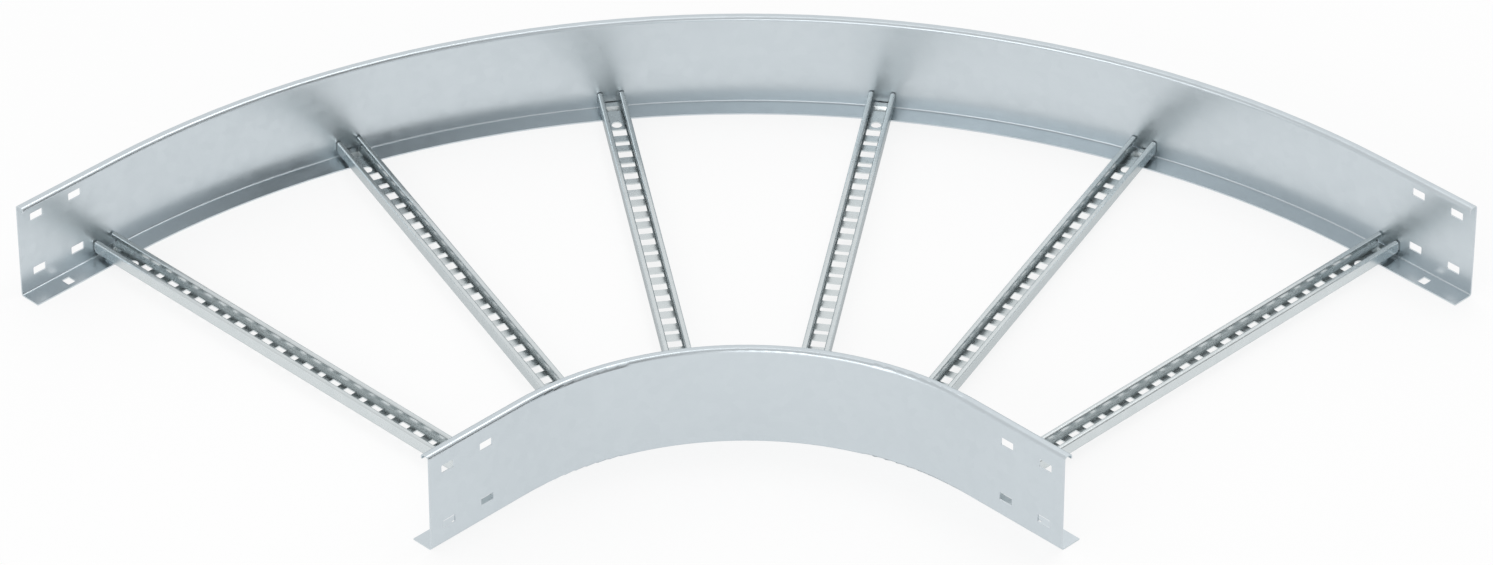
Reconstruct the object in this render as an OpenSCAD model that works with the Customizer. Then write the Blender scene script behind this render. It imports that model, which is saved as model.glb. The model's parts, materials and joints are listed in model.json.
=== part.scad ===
// Cable ladder bend, 90 degrees: two roll-formed side rails and six slotted C-section rungs.
// Millimetres, Z up. The bend lies on its bottom flanges, centred over the origin.
// One end faces -Y and the other faces -X, and the two halves mirror each other about x = y.

/* [Bend] */
// Radius to the inner rail's outside face
inner_radius = 300; // [200:10:600]
// Width over the outside faces of the two rails
tray_width = 600; // [400:10:900]
// Straight run at each end, beyond the arc
end_length = 125; // [125:5:250]

/* [Side rail] */
// Height of the rails
rail_height = 110; // [95:5:150]
// Sheet thickness of the rails
rail_sheet = 1.5; // [1:0.25:2.5]
// Inside radius of the fold between web and flange
rail_fold = 1.5; // [0.5:0.25:3]
// Width of the bottom flange, from the outside face
flange_width = 25; // [23:1:40]
// Width of the top lip, from the outside face
lip_width = 11; // [10:0.5:18]
// Depth of the return hanging from the lip's free edge
lip_return = 6; // [5:0.5:10]
// Inside radius of the lip's two folds
lip_fold = 2.5; // [1:0.25:3]

/* [Joint slots] */
// Length of a slot in the web
slot_length = 16; // [10:0.5:24]
// Height of a slot in the web
slot_height = 9; // [6:0.5:14]
// Corner radius of every punched slot
slot_corner = 1; // [0.5:0.25:2]
// Distance of the first slots from the rail's end
slot_from_end = 24; // [14:1:26]
// Distance between the two columns of slots
slot_pitch = 50; // [30:1:52]
// Height between the two rows, about the rail's middle
slot_rise = 65; // [40:1:70]
// Length of the flange slot, across the rail
flange_slot_length = 11; // [8:0.5:12]
// Width of the flange slot, along the rail
flange_slot_width = 9.5; // [6:0.5:14]
// Line of the flange slots and the rung feet, from the outside face
flange_line = 15; // [13:0.5:15]

/* [Rungs] */
// Width of a rung
rung_width = 28; // [24:1:40]
// Height of a rung
rung_height = 14; // [13:1:25]
// Sheet thickness of the rungs
rung_sheet = 1.5; // [1:0.25:2]
// Inside radius of the rung's folds
rung_fold = 0.5; // [0.25:0.25:1.25]
// Width of a rung's rolled lip
rung_lip = 5.5; // [5.5:0.25:8]
// Depth of the lip, down to its free edge
rung_lip_return = 5; // [4:0.5:7]
// Clear height between the flange and the rung's underside
rung_lift = 4.5; // [2:0.5:8]
// Clear gap between a rung's end and the web
rung_gap = 1.5; // [1:0.5:5]
// Centre of the first and last rung, from the rail's end
rung_from_end = 109; // [104:1:140]

/* [Rung punching] */
// Distance between neighbouring rung slots
punch_pitch = 20; // [18:1:30]
// Length of the long rung slots, along the rung
punch_long = 11.5; // [8:0.5:15]
// Length of the short rung slots, along the rung
punch_short = 7.5; // [5:0.5:12]
// Width of the rung slots, across the rung
punch_width = 16.5; // [8:0.5:17]
// Diameter of the round hole at each end of a rung
round_hole = 11; // [6:0.5:13]
// Centre of the round hole, from the rung's end
round_hole_from_end = 42; // [38:1:60]
// Least distance from the round hole to the first slot's centre
round_hole_to_slot = 14; // [14:0.5:20]
// Length of a pressed foot's mouth, along the rung
foot_length = 9.5; // [8.5:0.5:11]
// Width of a pressed foot's mouth, across the rung
foot_width = 14; // [9:0.5:15]
// Slope of a foot's sides: how far each one leans in on its way down
foot_inset = 2.5; // [0.5:0.25:3]

/* [Hidden] */
$fn = 96;
galvanised = [0.78, 0.82, 0.84];
galvanised_rung = [0.72, 0.75, 0.77];

outer_radius = inner_radius + tray_width;
centre_shift = (outer_radius - end_length) / 2;
sweep = 90;
cut_over = 1;

rail_round = rail_fold + rail_sheet;
lip_round = lip_fold + rail_sheet;
slot_columns = [slot_from_end, slot_from_end + slot_pitch];
slot_rows = [(rail_height - slot_rise) / 2, (rail_height + slot_rise) / 2];
flange_slot_from_end = slot_from_end + slot_pitch / 2;

rung_round = rung_fold + rung_sheet;
rung_end_gap = rail_sheet + rung_gap;
rung_length = tray_width - 2 * rung_end_gap;
rung_middle = inner_radius + tray_width / 2;
rung_base = rail_sheet + rung_lift;
rung_step = sweep / 5;
foot_offset = tray_width / 2 - flange_line;
foot_slope = foot_inset / rung_lift;
round_hole_offset = rung_length / 2 - round_hole_from_end;
// Rung slots come in groups of long, short, long, short, long
punch_group = [punch_long, punch_short, punch_long, punch_short, punch_long];
punch_room = 2 * (round_hole_offset - round_hole_to_slot) + punch_pitch;
punch_groups = floor(punch_room / (len(punch_group) * punch_pitch));
punch_count = punch_groups * len(punch_group);

// Quarter of a folded corner: the bend fills the quadrant towards -x and -y of its centre
module fold(inside, sheet) {
    intersection() {
        difference() {
            circle(r = inside + sheet);
            circle(r = inside);
        }
        translate([-inside - sheet, -inside - sheet])
            square(inside + sheet);
    }
}

// Flat rectangle with rounded corners, centred
module punch_outline(length, width, corner) {
    square([length - 2 * corner, width], center = true);
    square([length, width - 2 * corner], center = true);
    for (x = [-1, 1], y = [-1, 1])
        translate([x * (length / 2 - corner), y * (width / 2 - corner)])
            circle(r = corner);
}

// Rail section: x runs from the outside face into the tray, y is up
module rail_section() {
    translate([0, rail_round])
        square([rail_sheet, rail_height - rail_round - lip_round]);
    translate([rail_round, rail_round])
        fold(rail_fold, rail_sheet);
    translate([rail_round, 0])
        square([flange_width - rail_round, rail_sheet]);
    translate([lip_round, rail_height - lip_round])
        mirror([0, 1])
            fold(lip_fold, rail_sheet);
    translate([lip_round, rail_height - rail_sheet])
        square([lip_width - 2 * lip_round, rail_sheet]);
    translate([lip_width - lip_round, rail_height - lip_round])
        rotate(180)
            fold(lip_fold, rail_sheet);
    translate([lip_width - rail_sheet, rail_height - lip_return])
        square([rail_sheet, lip_return - lip_round]);
}

// Repeats a feature of the -Y end at the -X end
module at_both_ends() {
    children();
    mirror([1, -1, 0])
        children();
}

// Straight run and quarter arc of a section that is drawn at its own radius
module swept_rail() {
    rotate_extrude(angle = sweep, $fn = 360)
        children();
    at_both_ends()
        rotate([90, 0, 0])
            linear_extrude(end_length)
                children();
}

// Joint slots of the -Y end: four through the web, one through the flange
module end_slots(web_x, inward) {
    for (from_end = slot_columns, z = slot_rows)
        translate([web_x + inward * rail_sheet / 2, from_end - end_length, z])
            rotate([90, 0, 90])
                linear_extrude(rail_sheet + 2 * cut_over, center = true)
                    punch_outline(slot_length, slot_height, slot_corner);
    translate([web_x + inward * flange_line, flange_slot_from_end - end_length, rail_sheet / 2])
        linear_extrude(rail_sheet + 2 * cut_over, center = true)
            punch_outline(flange_slot_length, flange_slot_width, slot_corner);
}

module centred() {
    translate([-centre_shift, -centre_shift, 0])
        children();
}

module outer_rail() {
    color(galvanised)
        centred()
            difference() {
                swept_rail()
                    translate([outer_radius, 0])
                        mirror([1, 0])
                            rail_section();
                at_both_ends()
                    end_slots(outer_radius, -1);
            }
}

module inner_rail() {
    color(galvanised)
        centred()
            difference() {
                swept_rail()
                    translate([inner_radius, 0])
                        rail_section();
                at_both_ends()
                    end_slots(inner_radius, 1);
            }
}

// One half of the rung section, x >= 0: floor, wall and rolled lip
module rung_half_section() {
    square([rung_width / 2 - rung_round, rung_sheet]);
    translate([rung_width / 2 - rung_round, rung_round])
        mirror([1, 0])
            fold(rung_fold, rung_sheet);
    translate([rung_width / 2 - rung_sheet, rung_round])
        square([rung_sheet, rung_height - 2 * rung_round]);
    translate([rung_width / 2 - rung_round, rung_height - rung_round])
        rotate(180)
            fold(rung_fold, rung_sheet);
    translate([rung_width / 2 - rung_lip + rung_round, rung_height - rung_sheet])
        square([rung_lip - 2 * rung_round, rung_sheet]);
    translate([rung_width / 2 - rung_lip + rung_round, rung_height - rung_round])
        mirror([0, 1])
            fold(rung_fold, rung_sheet);
    translate([rung_width / 2 - rung_lip, rung_height - rung_lip_return])
        square([rung_sheet, rung_lip_return - rung_round]);
}

// Outline that hangs from y = 0 and narrows downwards by the foot's slope
module foot_outline(width, depth) {
    polygon([
        [-width / 2, 0], [width / 2, 0],
        [width / 2 - foot_slope * depth, -depth], [foot_slope * depth - width / 2, -depth]
    ]);
}

// Block with four sloping sides that hangs from z = 0
module foot_block(length, width, depth) {
    intersection() {
        rotate([90, 0, 0])
            linear_extrude(width, center = true)
                foot_outline(length, depth);
        rotate([90, 0, 90])
            linear_extrude(length, center = true)
                foot_outline(width, depth);
    }
}

// Cup pressed down from the rung's floor to the flange
module foot_cup() {
    translate([0, 0, rung_sheet])
        foot_block(foot_length + 2 * rung_sheet, foot_width + 2 * rung_sheet, rung_lift + rung_sheet);
}

module foot_recess() {
    over = 2 * foot_slope * cut_over;
    translate([0, 0, rung_sheet + cut_over])
        foot_block(foot_length + over, foot_width + over, rung_lift + cut_over);
}

// Holes through the rung's floor: slot groups along the middle and a round hole at each end
module rung_punching() {
    for (i = [0 : punch_count - 1])
        translate([(i - (punch_count - 1) / 2) * punch_pitch, 0, -cut_over])
            linear_extrude(rung_sheet + 2 * cut_over)
                punch_outline(punch_group[i % len(punch_group)], punch_width, slot_corner);
    for (side = [-1, 1])
        translate([side * round_hole_offset, 0, -cut_over])
            cylinder(h = rung_sheet + 2 * cut_over, d = round_hole);
}

// A whole rung along X, centred, with its underside at z = 0
module rung_body() {
    difference() {
        union() {
            rotate([90, 0, 90])
                linear_extrude(rung_length, center = true) {
                    rung_half_section();
                    mirror([1, 0])
                        rung_half_section();
                }
            for (side = [-1, 1])
                translate([side * foot_offset, 0, 0])
                    foot_cup();
        }
        rung_punching();
        for (side = [-1, 1])
            translate([side * foot_offset, 0, 0])
                foot_recess();
    }
}

// Rung in the straight run of the -Y end
module straight_rung() {
    translate([rung_middle, rung_from_end - end_length, rung_base])
        rung_body();
}

// Rung across the arc, the given number of steps from the -Y end
module arc_rung(steps) {
    rotate(steps * rung_step)
        translate([rung_middle, 0, rung_base])
            rung_body();
}

// Rungs are numbered from the -Y end to the -X end
module rung(number) {
    color(galvanised_rung)
        centred()
            if (number == 1)
                straight_rung();
            else if (number == 6)
                mirror([1, -1, 0])
                    straight_rung();
            else
                arc_rung(number - 1);
}

outer_rail();
inner_rail();
rung(1);  // rung_1
rung(2);  // rung_2
rung(3);  // rung_3
rung(4);  // rung_4
rung(5);  // rung_5
rung(6);  // rung_6
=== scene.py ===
"""Looks of a flat 90 degree cable ladder bend in galvanised sheet steel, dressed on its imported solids."""

import json
import logging
import math
from dataclasses import dataclass
from enum import Enum
from typing import Any

import bmesh
import bpy
from mathutils import Matrix, Vector

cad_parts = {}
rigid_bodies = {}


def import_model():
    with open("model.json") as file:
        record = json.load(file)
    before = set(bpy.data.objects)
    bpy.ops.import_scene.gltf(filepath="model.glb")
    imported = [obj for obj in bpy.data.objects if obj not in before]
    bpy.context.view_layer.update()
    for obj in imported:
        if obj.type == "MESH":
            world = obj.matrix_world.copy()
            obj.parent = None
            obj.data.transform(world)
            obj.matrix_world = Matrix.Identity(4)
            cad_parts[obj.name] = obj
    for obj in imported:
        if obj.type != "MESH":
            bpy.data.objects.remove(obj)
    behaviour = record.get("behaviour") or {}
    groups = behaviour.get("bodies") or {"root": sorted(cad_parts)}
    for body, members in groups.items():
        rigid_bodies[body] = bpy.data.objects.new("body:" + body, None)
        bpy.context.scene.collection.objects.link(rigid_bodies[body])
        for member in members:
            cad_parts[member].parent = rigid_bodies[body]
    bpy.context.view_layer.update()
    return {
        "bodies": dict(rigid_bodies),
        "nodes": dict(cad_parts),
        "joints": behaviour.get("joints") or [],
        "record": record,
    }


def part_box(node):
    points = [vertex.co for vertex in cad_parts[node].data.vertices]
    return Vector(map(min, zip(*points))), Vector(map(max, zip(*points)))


LOG = logging.getLogger("ladder_bend")
MM_PER_METRE = 1000

Colour = tuple[float, float, float]

# Centre of curvature of the two rails, on the floor
BEND_CENTRE = (-0.3875, -0.3875, 0.0)
# The view is along the bend's middle line, from inside the bend outwards
OUTWARD = Vector((1.0, 1.0, 0.0)).normalized()
SIDEWAYS = Vector((1.0, -1.0, 0.0)).normalized()
UPWARD = Vector((0.0, 0.0, 1.0))


def from_view(right: float, behind: float, up: float) -> Vector:
    """Turns rightward, backward and upward parts, as the view sees them, into the part's own frame."""
    return SIDEWAYS * right + OUTWARD * behind + UPWARD * up


def aimed(place: Vector, look: Vector) -> Matrix:
    """Gives the matrix of a lamp or camera at a place that looks along a direction."""
    return Matrix.Translation(place) @ look.to_track_quat("-Z", "Y").to_matrix().to_4x4()


def opaque(colour: Colour) -> tuple[float, float, float, float]:
    """Adds a full alpha to a colour."""
    return (*colour, 1.0)


class Slot(Enum):
    """The record's material slots."""

    RAIL = "rail_steel"
    RUNG = "rung_steel"


class SocketKind(Enum):
    """Socket types of the shader node groups."""

    NUMBER = "NodeSocketFloat"
    VECTOR = "NodeSocketVector"


class NodeSheet:
    """A shader node tree with short calls for adding and joining nodes."""

    # Places of a mix node's sockets when it mixes colours
    MIX_SHARE = 0
    MIX_BASE = 6
    MIX_OVER = 7
    MIX_RESULT = 2

    def __init__(self, tree: bpy.types.NodeTree) -> None:
        """Keeps the tree that the nodes go into."""
        self.tree = tree

    def add(self, kind: str, *feeds: Any, **settings: Any) -> bpy.types.Node:
        """Adds a node, sets its properties and feeds its inputs in order.

        Args:
            kind: The node's type name.
            feeds: One entry per input: a socket to link, a value to set, or None to leave it.
            settings: Properties of the node itself.

        Returns:
            The new node.
        """
        node = self.tree.nodes.new(kind)
        for name, value in settings.items():
            setattr(node, name, value)
        for socket, feed in zip(node.inputs, feeds):
            self.feed(socket, feed)
        return node

    def feed(self, socket: bpy.types.NodeSocket, source: Any) -> None:
        """Links a socket to an input, or sets its value.

        Args:
            socket: The input.
            source: A socket to link, a value to set, or None to leave the input alone.
        """
        if source is None:
            return
        if isinstance(source, bpy.types.NodeSocket):
            self.tree.links.new(source, socket)
        else:
            socket.default_value = source

    def math(self, operation: str, *feeds: Any) -> bpy.types.NodeSocket:
        """Adds a Math node and returns its value."""
        return self.add("ShaderNodeMath", *feeds, operation=operation).outputs[0]

    def vector(self, operation: str, *feeds: Any) -> bpy.types.NodeSocket:
        """Adds a Vector Math node and returns its vector."""
        return self.add("ShaderNodeVectorMath", *feeds, operation=operation).outputs["Vector"]

    def measure(self, operation: str, *feeds: Any) -> bpy.types.NodeSocket:
        """Adds a Vector Math node that gives a number, and returns that."""
        return self.add("ShaderNodeVectorMath", *feeds, operation=operation).outputs["Value"]

    def noise(self, place: bpy.types.NodeSocket, scale: float, detail: float) -> bpy.types.Node:
        """Adds a noise texture.

        Args:
            place: Where the noise is read.
            scale: Its cells per unit of place.
            detail: How many finer layers it has.

        Returns:
            The texture's node.
        """
        node = self.add("ShaderNodeTexNoise", place)
        node.inputs["Scale"].default_value = scale
        node.inputs["Detail"].default_value = detail
        return node

    def spread(
        self, value: bpy.types.NodeSocket, span: tuple[float, float], ends: tuple[float, float]
    ) -> bpy.types.NodeSocket:
        """Maps a value from one range to another, held at the ends.

        Args:
            value: The value to map.
            span: Start and end of its range.
            ends: What the start and the end become.

        Returns:
            The mapped value.
        """
        return self.add("ShaderNodeMapRange", value, *span, *ends, clamp=True).outputs["Result"]

    def mix(self, share: bpy.types.NodeSocket, base: Any, over: Any) -> bpy.types.NodeSocket:
        """Mixes two colours.

        Args:
            share: How much of the second colour shows.
            base: The first colour, as a socket or a value.
            over: The second colour, as a socket or a value.

        Returns:
            The mixed colour.
        """
        node = self.add("ShaderNodeMix", data_type="RGBA")
        self.feed(node.inputs[self.MIX_SHARE], share)
        self.feed(node.inputs[self.MIX_BASE], base)
        self.feed(node.inputs[self.MIX_OVER], over)
        return node.outputs[self.MIX_RESULT]


def blank_material(name: str) -> tuple[bpy.types.Material, NodeSheet]:
    """Makes a material without nodes.

    Args:
        name: The material's name.

    Returns:
        The material and the sheet for its nodes.
    """
    material = bpy.data.materials.new(name)
    material.use_nodes = True
    material.node_tree.nodes.clear()
    return material, NodeSheet(material.node_tree)


class EffectGroup:
    """A shader node group that several finishes share."""

    def __init__(self, name: str, inputs: dict[str, SocketKind], outputs: dict[str, SocketKind]) -> None:
        """Makes the empty group with its named sockets.

        Args:
            name: The group's name.
            inputs: Input names and kinds.
            outputs: Output names and kinds.
        """
        self.tree = bpy.data.node_groups.new(name, "ShaderNodeTree")
        for way, sockets in (("INPUT", inputs), ("OUTPUT", outputs)):
            for label, kind in sockets.items():
                self.tree.interface.new_socket(label, in_out=way, socket_type=kind.value)
        self.sheet = NodeSheet(self.tree)
        self.source = self.sheet.add("NodeGroupInput")
        self.sink = self.sheet.add("NodeGroupOutput")

    def put_out(self, **results: bpy.types.NodeSocket) -> None:
        """Joins results to the group's outputs, named with underscores for spaces."""
        for label, socket in results.items():
            self.sheet.feed(self.sink.inputs[label.replace("_", " ")], socket)

    def place(self, sheet: NodeSheet, **feeds: Any) -> bpy.types.Node:
        """Places the group in a material.

        Args:
            sheet: The material's nodes.
            feeds: Inputs by name, with underscores for spaces.

        Returns:
            The group node.
        """
        node = sheet.add("ShaderNodeGroup", node_tree=self.tree)
        for label, feed in feeds.items():
            sheet.feed(node.inputs[label.replace("_", " ")], feed)
        return node


class BendRun(EffectGroup):
    """Unrolls the bend: along the run, across the ladder, and up, in metres."""

    def __init__(self) -> None:
        """Builds the group."""
        super().__init__("bend_run", {}, {"Run": SocketKind.VECTOR})
        sheet = self.sheet
        place = sheet.add("ShaderNodeTexCoord").outputs["Object"]
        place = sheet.vector("SUBTRACT", place, BEND_CENTRE)
        x, y, z = sheet.add("ShaderNodeSeparateXYZ", place).outputs
        ahead_x, ahead_y = sheet.math("MAXIMUM", x, 0.0), sheet.math("MAXIMUM", y, 0.0)
        flat = sheet.add("ShaderNodeCombineXYZ", ahead_x, ahead_y, 0.0).outputs[0]
        radius = sheet.measure("LENGTH", flat)
        turn = sheet.math("ARCTAN2", ahead_y, ahead_x)
        before, beyond = sheet.math("MINIMUM", y, 0.0), sheet.math("MINIMUM", x, 0.0)
        straight = sheet.math("SUBTRACT", before, beyond)
        along = sheet.math("MULTIPLY_ADD", radius, turn, straight)
        self.put_out(Run=sheet.add("ShaderNodeCombineXYZ", along, radius, z).outputs[0])


class ZincBloom(EffectGroup):
    """Crystal spangle, slow tone clouds and rolling streaks of galvanised strip.

    Scales are in cells per metre, apart from the streaks', which each finish stretches itself.
    """

    CRYSTAL_SCALE = 110.0
    # How far the noise shifts the crystals' edges, in metres
    WARP_REACH = (0.006, 0.006, 0.006)
    WARP_SCALE = 90.0
    WARP_DETAIL = 2.0
    CLOUD_SCALE = 9.0
    CLOUD_DETAIL = 3.0
    STREAK_SCALE = 1.0
    STREAK_DETAIL = 3.0
    GRAIN_SCALE = 1400.0
    GRAIN_DETAIL = 2.0
    # Shares of the patterns in the group's three results
    TONE_FACET = 0.35
    TONE_CLOUD = 0.3
    TONE_STREAK = 0.35
    POLISH_FACET = 0.5
    POLISH_STREAK = 0.5
    HEIGHT_FACET = 0.35
    HEIGHT_GRAIN = 0.65

    def __init__(self) -> None:
        """Builds the group."""
        super().__init__(
            "zinc_bloom",
            {"Run": SocketKind.VECTOR, "Streak Stretch": SocketKind.VECTOR},
            {"Tone": SocketKind.NUMBER, "Polish": SocketKind.NUMBER, "Height": SocketKind.NUMBER},
        )
        sheet = self.sheet
        place = sheet.add("ShaderNodeTexCoord").outputs["Object"]
        warp = sheet.noise(place, self.WARP_SCALE, self.WARP_DETAIL).outputs["Color"]
        shifted = sheet.vector("MULTIPLY_ADD", warp, self.WARP_REACH, place)
        crystal = sheet.add("ShaderNodeTexVoronoi", shifted)
        crystal.inputs["Scale"].default_value = self.CRYSTAL_SCALE
        facet = sheet.add("ShaderNodeSeparateColor", crystal.outputs["Color"]).outputs
        cloud = sheet.noise(place, self.CLOUD_SCALE, self.CLOUD_DETAIL).outputs[0]
        run, stretch = self.source.outputs["Run"], self.source.outputs["Streak Stretch"]
        stretched = sheet.vector("MULTIPLY", run, stretch)
        streak = sheet.noise(stretched, self.STREAK_SCALE, self.STREAK_DETAIL).outputs[0]
        grain = sheet.noise(place, self.GRAIN_SCALE, self.GRAIN_DETAIL).outputs[0]
        tones = (facet[0], self.TONE_FACET), (cloud, self.TONE_CLOUD), (streak, self.TONE_STREAK)
        self.put_out(
            Tone=self.blend(*tones),
            Polish=self.blend((facet[1], self.POLISH_FACET), (streak, self.POLISH_STREAK)),
            Height=self.blend((facet[2], self.HEIGHT_FACET), (grain, self.HEIGHT_GRAIN)),
        )

    def blend(self, *shares: tuple[bpy.types.NodeSocket, float]) -> bpy.types.NodeSocket:
        """Adds up patterns by their shares.

        Args:
            shares: Each pattern with its share of the sum.

        Returns:
            The sum.
        """
        first, share = shares[0]
        total = self.sheet.math("MULTIPLY", first, share)
        for pattern, share in shares[1:]:
            total = self.sheet.math("MULTIPLY_ADD", pattern, share, total)
        return total


class EdgeRub(EffectGroup):
    """A mask that is strong where the sheet turns sharply, at cut edges and slot rims."""

    BEVEL_SAMPLES = 4
    # How far the softened normal agrees with the true one on a flat face and at a sharp edge
    FLAT = 0.98
    SHARP = 0.75

    def __init__(self) -> None:
        """Builds the group."""
        super().__init__("edge_rub", {"Width": SocketKind.NUMBER}, {"Rub": SocketKind.NUMBER})
        sheet = self.sheet
        width = self.source.outputs["Width"]
        soft = sheet.add("ShaderNodeBevel", width, samples=self.BEVEL_SAMPLES).outputs[0]
        hard = sheet.add("ShaderNodeNewGeometry").outputs["Normal"]
        agreed = sheet.measure("DOT_PRODUCT", soft, hard)
        self.put_out(Rub=sheet.spread(agreed, (self.FLAT, self.SHARP), (0.0, 1.0)))


@dataclass(frozen=True)
class Effects:
    """The shared effects, built once.

    Attributes:
        run: The unrolled bend.
        bloom: The zinc's patterns.
        rub: The mask of the rubbed edges.
    """

    run: BendRun
    bloom: ZincBloom
    rub: EdgeRub


@dataclass(frozen=True)
class GalvanisedFinish:
    """Satin zinc on cold-rolled strip.

    Attributes:
        name: The material's name.
        slot: The record's slot that it stands for.
        pale: Colour of the brightest zinc.
        dull: Colour of the dullest zinc.
        bare: Colour of a rubbed or cut edge.
        glancing: Tint of the reflection at a glancing angle.
        gloss: Roughness where the zinc is smoothest and where it is dullest.
        stretch: Scale of the rolling streaks along, across and up the run.
        rub_width: Width of the rubbed edges, in metres.
        depth: Depth of the spangle relief, in metres.
        relief: Strength of that relief.
        tone_span: The bloom's tones that count as dullest and brightest.
        polish_span: The bloom's polish that counts as smoothest and dullest.
    """

    name: str
    slot: Slot
    pale: Colour
    dull: Colour
    bare: Colour
    glancing: Colour
    gloss: tuple[float, float]
    stretch: tuple[float, float, float]
    rub_width: float
    depth: float = 0.00002
    relief: float = 0.35
    tone_span: tuple[float, float] = (0.3, 0.7)
    polish_span: tuple[float, float] = (0.25, 0.75)

    def build(self, effects: Effects) -> bpy.types.Material:
        """Makes the material.

        Args:
            effects: The shared effects.

        Returns:
            The finished material.
        """
        material, sheet = blank_material(self.name)
        run = effects.run.place(sheet).outputs["Run"]
        bloom = effects.bloom.place(sheet, Run=run, Streak_Stretch=self.stretch).outputs
        rub = effects.rub.place(sheet, Width=self.rub_width).outputs["Rub"]
        tone = sheet.spread(bloom["Tone"], self.tone_span, (0.0, 1.0))
        zinc = sheet.mix(tone, opaque(self.dull), opaque(self.pale))
        bump = sheet.add("ShaderNodeBump")
        bump.inputs["Strength"].default_value = self.relief
        bump.inputs["Distance"].default_value = self.depth
        sheet.feed(bump.inputs["Height"], bloom["Height"])
        shader = sheet.add("ShaderNodeBsdfPrincipled")
        shader.inputs["Metallic"].default_value = 1.0
        shader.inputs["Specular Tint"].default_value = opaque(self.glancing)
        sheet.feed(shader.inputs["Base Color"], sheet.mix(rub, zinc, opaque(self.bare)))
        sheet.feed(shader.inputs["Roughness"], sheet.spread(bloom["Polish"], self.polish_span, self.gloss))
        sheet.feed(shader.inputs["Normal"], bump.outputs["Normal"])
        sheet.add("ShaderNodeOutputMaterial", shader.outputs["BSDF"])
        return material


RAIL_FINISH = GalvanisedFinish(
    name="galvanised_rail",
    slot=Slot.RAIL,
    pale=(0.64, 0.697, 0.731),
    dull=(0.625, 0.682, 0.716),
    bare=(0.69, 0.73, 0.75),
    glancing=(0.8, 0.82, 0.83),
    gloss=(0.28, 0.36),
    stretch=(6.0, 260.0, 260.0),
    rub_width=0.0006,
)
RUNG_FINISH = GalvanisedFinish(
    name="galvanised_rung",
    slot=Slot.RUNG,
    pale=(0.72, 0.763, 0.773),
    dull=(0.69, 0.737, 0.747),
    bare=(0.74, 0.765, 0.775),
    glancing=(0.54, 0.56, 0.57),
    gloss=(0.25, 0.31),
    stretch=(260.0, 6.0, 260.0),
    rub_width=0.0005,
)


class Workshop:
    """Makes each finish once and hands it out."""

    def __init__(self) -> None:
        """Builds the shared effects."""
        self.effects = Effects(BendRun(), ZincBloom(), EdgeRub())
        self.made: dict[str, bpy.types.Material] = {}

    def material(self, finish: GalvanisedFinish) -> bpy.types.Material:
        """Gives a finish's material, made on its first use.

        Args:
            finish: The finish.

        Returns:
            Its material.
        """
        if finish.name not in self.made:
            self.made[finish.name] = finish.build(self.effects)
        return self.made[finish.name]


@dataclass
class SheetPart:
    """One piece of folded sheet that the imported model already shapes.

    Attributes:
        node: The piece's node in the frame.
        finish: Its finish.
    """

    node: str
    finish: GalvanisedFinish

    def dress(self, frame: dict[str, Any], workshop: Workshop) -> None:
        """Puts the finish on the node's material slots and reports the piece.

        Args:
            frame: The loaded frame.
            workshop: The maker of the finishes.
        """
        mesh = frame["nodes"][self.node].data
        material = workshop.material(self.finish)
        if not mesh.materials:
            mesh.materials.append(material)
        for index in range(len(mesh.materials)):
            mesh.materials[index] = material
        low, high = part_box(self.node)
        size = (high - low) * MM_PER_METRE
        slot = self.finish.slot.value
        LOG.info("%s: %s, %s, %.0f x %.0f x %.0f mm", self.node, slot, self.finish.name, *size)


@dataclass
class SideRail(SheetPart):
    """A folded side rail: web, bottom flange and returned top lip."""

    finish: GalvanisedFinish = RAIL_FINISH


@dataclass
class SlottedRung(SheetPart):
    """A slotted C-section rung with rolled lips."""

    finish: GalvanisedFinish = RUNG_FINISH


@dataclass
class LadderBend:
    """The whole bend.

    Attributes:
        rails: Names of the two side rails.
        rung_count: How many rungs it has.
    """

    rails: tuple[str, ...] = ("outer_rail", "inner_rail")
    rung_count: int = 6

    def parts(self) -> list[SheetPart]:
        """Lists every piece, the rails first."""
        rungs = [SlottedRung(f"rung_{number}") for number in range(1, self.rung_count + 1)]
        return [*map(SideRail, self.rails), *rungs]

    def dress(self, frame: dict[str, Any], workshop: Workshop) -> None:
        """Dresses every piece.

        Args:
            frame: The loaded frame.
            workshop: The maker of the finishes.
        """
        for part in self.parts():
            part.dress(frame, workshop)


@dataclass(frozen=True)
class Softbox:
    """A rectangular area lamp that faces the middle of the bend.

    Attributes:
        name: The lamp's name.
        right: How far it hangs to the right of the bend's middle line, in metres.
        behind: How far it hangs behind the bend's middle, in metres.
        above: Its height, in metres.
        width: How wide it is, in metres.
        height: How high it is, in metres.
        brightness: How bright its face is, where 1 is white.
    """

    name: str
    right: float
    behind: float
    above: float
    width: float
    height: float
    brightness: float

    def build(self) -> None:
        """Hangs the lamp."""
        data = bpy.data.lights.new(self.name, "AREA")
        data.shape = "RECTANGLE"
        data.size = self.width
        data.size_y = self.height
        data.energy = self.brightness * math.pi * self.width * self.height
        place = from_view(self.right, self.behind, self.above)
        lamp = bpy.data.objects.new(self.name, data)
        lamp.matrix_world = aimed(place, -place)
        bpy.context.scene.collection.objects.link(lamp)


@dataclass(frozen=True)
class DimPatch:
    """A round part of the sky that is dimmer than the rest.

    Attributes:
        right: Rightward part of the unit vector that points at its middle.
        behind: Backward part.
        up: Upward part.
        edge: Cosine of the angle at which it begins.
        core: Cosine of the angle within which it is dimmest.
        depth: How much light it lacks there, from 0 to 1.
    """

    right: float
    behind: float
    up: float
    edge: float
    core: float
    depth: float

    def factor(self, sheet: NodeSheet, ray: bpy.types.NodeSocket) -> bpy.types.NodeSocket:
        """Gives the share of the sky's light that is left.

        Args:
            sheet: The world's nodes.
            ray: Direction of the ray.

        Returns:
            The share, from 0 to 1.
        """
        near = sheet.measure("DOT_PRODUCT", ray, from_view(self.right, self.behind, self.up))
        return sheet.spread(near, (self.edge, self.core), (1.0, 1.0 - self.depth))


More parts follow.
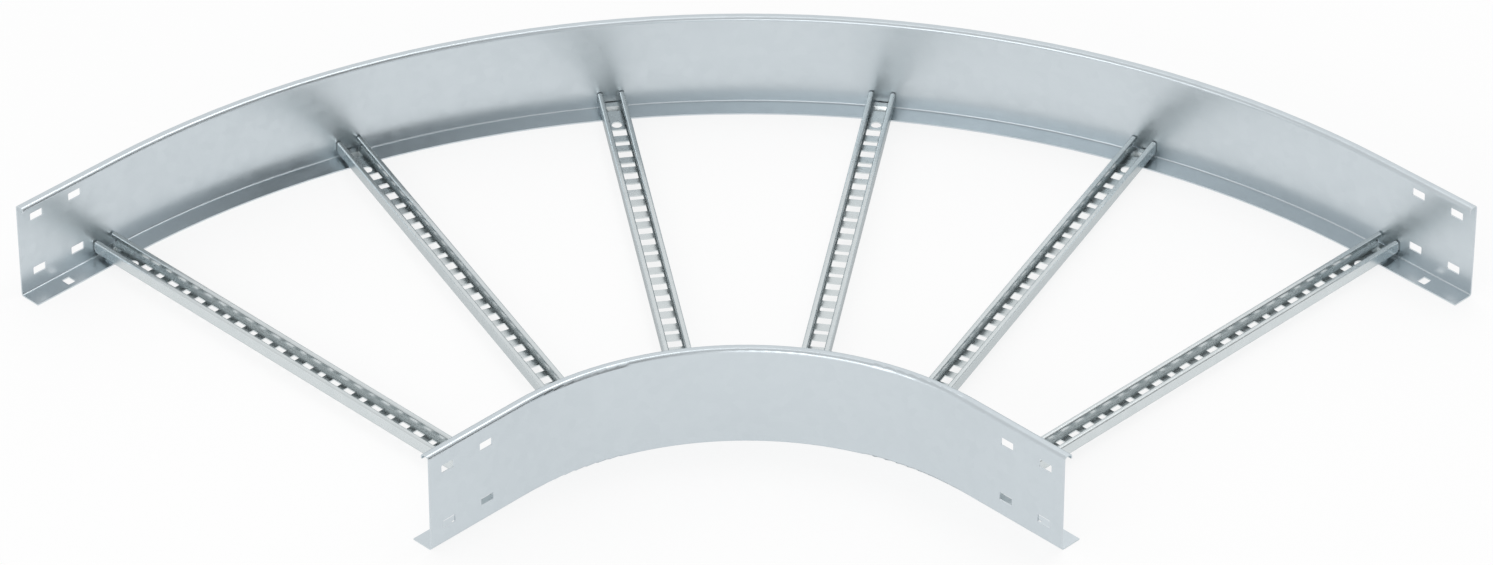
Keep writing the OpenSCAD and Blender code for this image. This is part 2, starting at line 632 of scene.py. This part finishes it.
HIGH_RIGHT = Softbox(
    name="high_right", right=0.78, behind=0.92, above=2.71, width=1.2, height=1.2, brightness=2.2
)
FRONT_LEFT = Softbox(
    name="front_left", right=-1.75, behind=-3.6, above=1.4, width=4.6, height=1.9, brightness=1.5
)
DARK_CORNER = DimPatch(right=0.654, behind=-0.493, up=0.574, edge=0.93, core=0.99, depth=0.88)
CAMERA_SIDE = DimPatch(right=-0.142, behind=-0.807, up=0.574, edge=-0.2, core=0.94, depth=0.25)
# Its middle lies below the horizon, so that only its upper part dims the sky
LOW_RIGHT = DimPatch(right=0.936, behind=0.082, up=-0.342, edge=0.68, core=0.8, depth=1.0)


@dataclass(frozen=True)
class StudioSky:
    """White light from all round, with dim patches that the metal mirrors as darker tones.

    Attributes:
        strength: Strength of the light outside the patches.
        patches: The dim patches.
    """

    strength: float = 1.15
    patches: tuple[DimPatch, ...] = (DARK_CORNER, CAMERA_SIDE, LOW_RIGHT)

    def build(self) -> None:
        """Sets the world's light."""
        world = bpy.data.worlds.new("studio_sky")
        bpy.context.scene.world = world
        world.use_nodes = True
        world.node_tree.nodes.clear()
        sheet = NodeSheet(world.node_tree)
        ray = sheet.add("ShaderNodeTexCoord").outputs["Generated"]
        light: Any = self.strength
        for patch in self.patches:
            light = sheet.math("MULTIPLY", patch.factor(sheet, ray), light)
        sky = sheet.add("ShaderNodeBackground")
        sheet.feed(sky.inputs["Strength"], light)
        sheet.add("ShaderNodeOutputWorld", sky.outputs[0])


@dataclass(frozen=True)
class StudioFloor:
    """A white floor that keeps the bend's shadow.

    Attributes:
        side: Side of the square floor, in metres.
        grey: Diffuse colour of the floor, which holds the shadow.
        glow: White that the floor shows to the camera and in reflections, on top of its lit colour.
    """

    side: float = 80.0
    grey: float = 0.22
    glow: float = 0.79

    def build(self) -> None:
        """Lays the floor."""
        mesh = bpy.data.meshes.new("studio_floor")
        shape = bmesh.new()
        bmesh.ops.create_grid(shape, x_segments=1, y_segments=1, size=self.side / 2)
        shape.to_mesh(mesh)
        shape.free()
        mesh.materials.append(self.material())
        floor = bpy.data.objects.new("studio_floor", mesh)
        bpy.context.scene.collection.objects.link(floor)
        LOG.info("studio_floor: %.0f m square", self.side)

    def material(self) -> bpy.types.Material:
        """Makes the floor's white.

        Returns:
            The material.
        """
        material, sheet = blank_material("studio_white")
        lit = sheet.add("ShaderNodeBsdfDiffuse", opaque((self.grey,) * 3))
        path = sheet.add("ShaderNodeLightPath").outputs
        seen = sheet.math("MAXIMUM", path["Is Camera Ray"], path["Is Glossy Ray"])
        seen = sheet.math("MAXIMUM", seen, path["Is Transmission Ray"])
        glow = sheet.add("ShaderNodeEmission")
        sheet.feed(glow.inputs["Strength"], sheet.math("MULTIPLY", seen, self.glow))
        both = sheet.add("ShaderNodeAddShader", lit.outputs[0], glow.outputs[0])
        sheet.add("ShaderNodeOutputMaterial", both.outputs[0])
        return material


@dataclass(frozen=True)
class ViewCamera:
    """The camera at the photograph's angle, on the bend's middle line.

    Attributes:
        back: Distance before the bend's centre of curvature, in metres.
        height: Height above the floor, in metres.
        pitch: How far it looks down, in degrees.
        focal_pixels: Focal length in pixels of the photograph.
        image_width: Width of the photograph in pixels.
        sensor_width: Width of the sensor in millimetres.
        sight: How far it sees, in metres.
    """

    back: float = 5.598
    height: float = 4.3051
    pitch: float = 34.9104
    focal_pixels: float = 7503.5
    image_width: float = 1493.0
    sensor_width: float = 36.0
    sight: float = 200.0

    def build(self) -> None:
        """Stands the camera and makes it the scene's own."""
        data = bpy.data.cameras.new("view")
        data.sensor_fit = "HORIZONTAL"
        data.sensor_width = self.sensor_width
        data.lens = self.sensor_width * self.focal_pixels / self.image_width
        data.clip_end = self.sight
        down = math.radians(self.pitch)
        look = from_view(0.0, math.cos(down), -math.sin(down))
        place = Vector(BEND_CENTRE) + from_view(0.0, -self.back, self.height)
        camera = bpy.data.objects.new("view", data)
        camera.matrix_world = aimed(place, look)
        bpy.context.scene.collection.objects.link(camera)
        bpy.context.scene.camera = camera


@dataclass(frozen=True)
class Studio:
    """Pale floor, soft light and the camera.

    Attributes:
        floor: The floor.
        sky: The light from all round.
        lamps: The lamps.
        camera: The camera.
    """

    floor: StudioFloor = StudioFloor()
    sky: StudioSky = StudioSky()
    lamps: tuple[Softbox, ...] = (HIGH_RIGHT, FRONT_LEFT)
    camera: ViewCamera = ViewCamera()

    def build(self) -> None:
        """Sets up floor, light and camera."""
        bpy.context.scene.view_settings.view_transform = "Standard"
        for piece in (self.floor, self.sky, *self.lamps, self.camera):
            piece.build()


def main() -> None:
    """Loads the frame, dresses every piece and sets up the studio."""
    logging.basicConfig(level=logging.INFO, format="%(name)s: %(message)s")
    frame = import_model()
    LadderBend().dress(frame, Workshop())
    Studio().build()


if __name__ == "__main__":
    main()
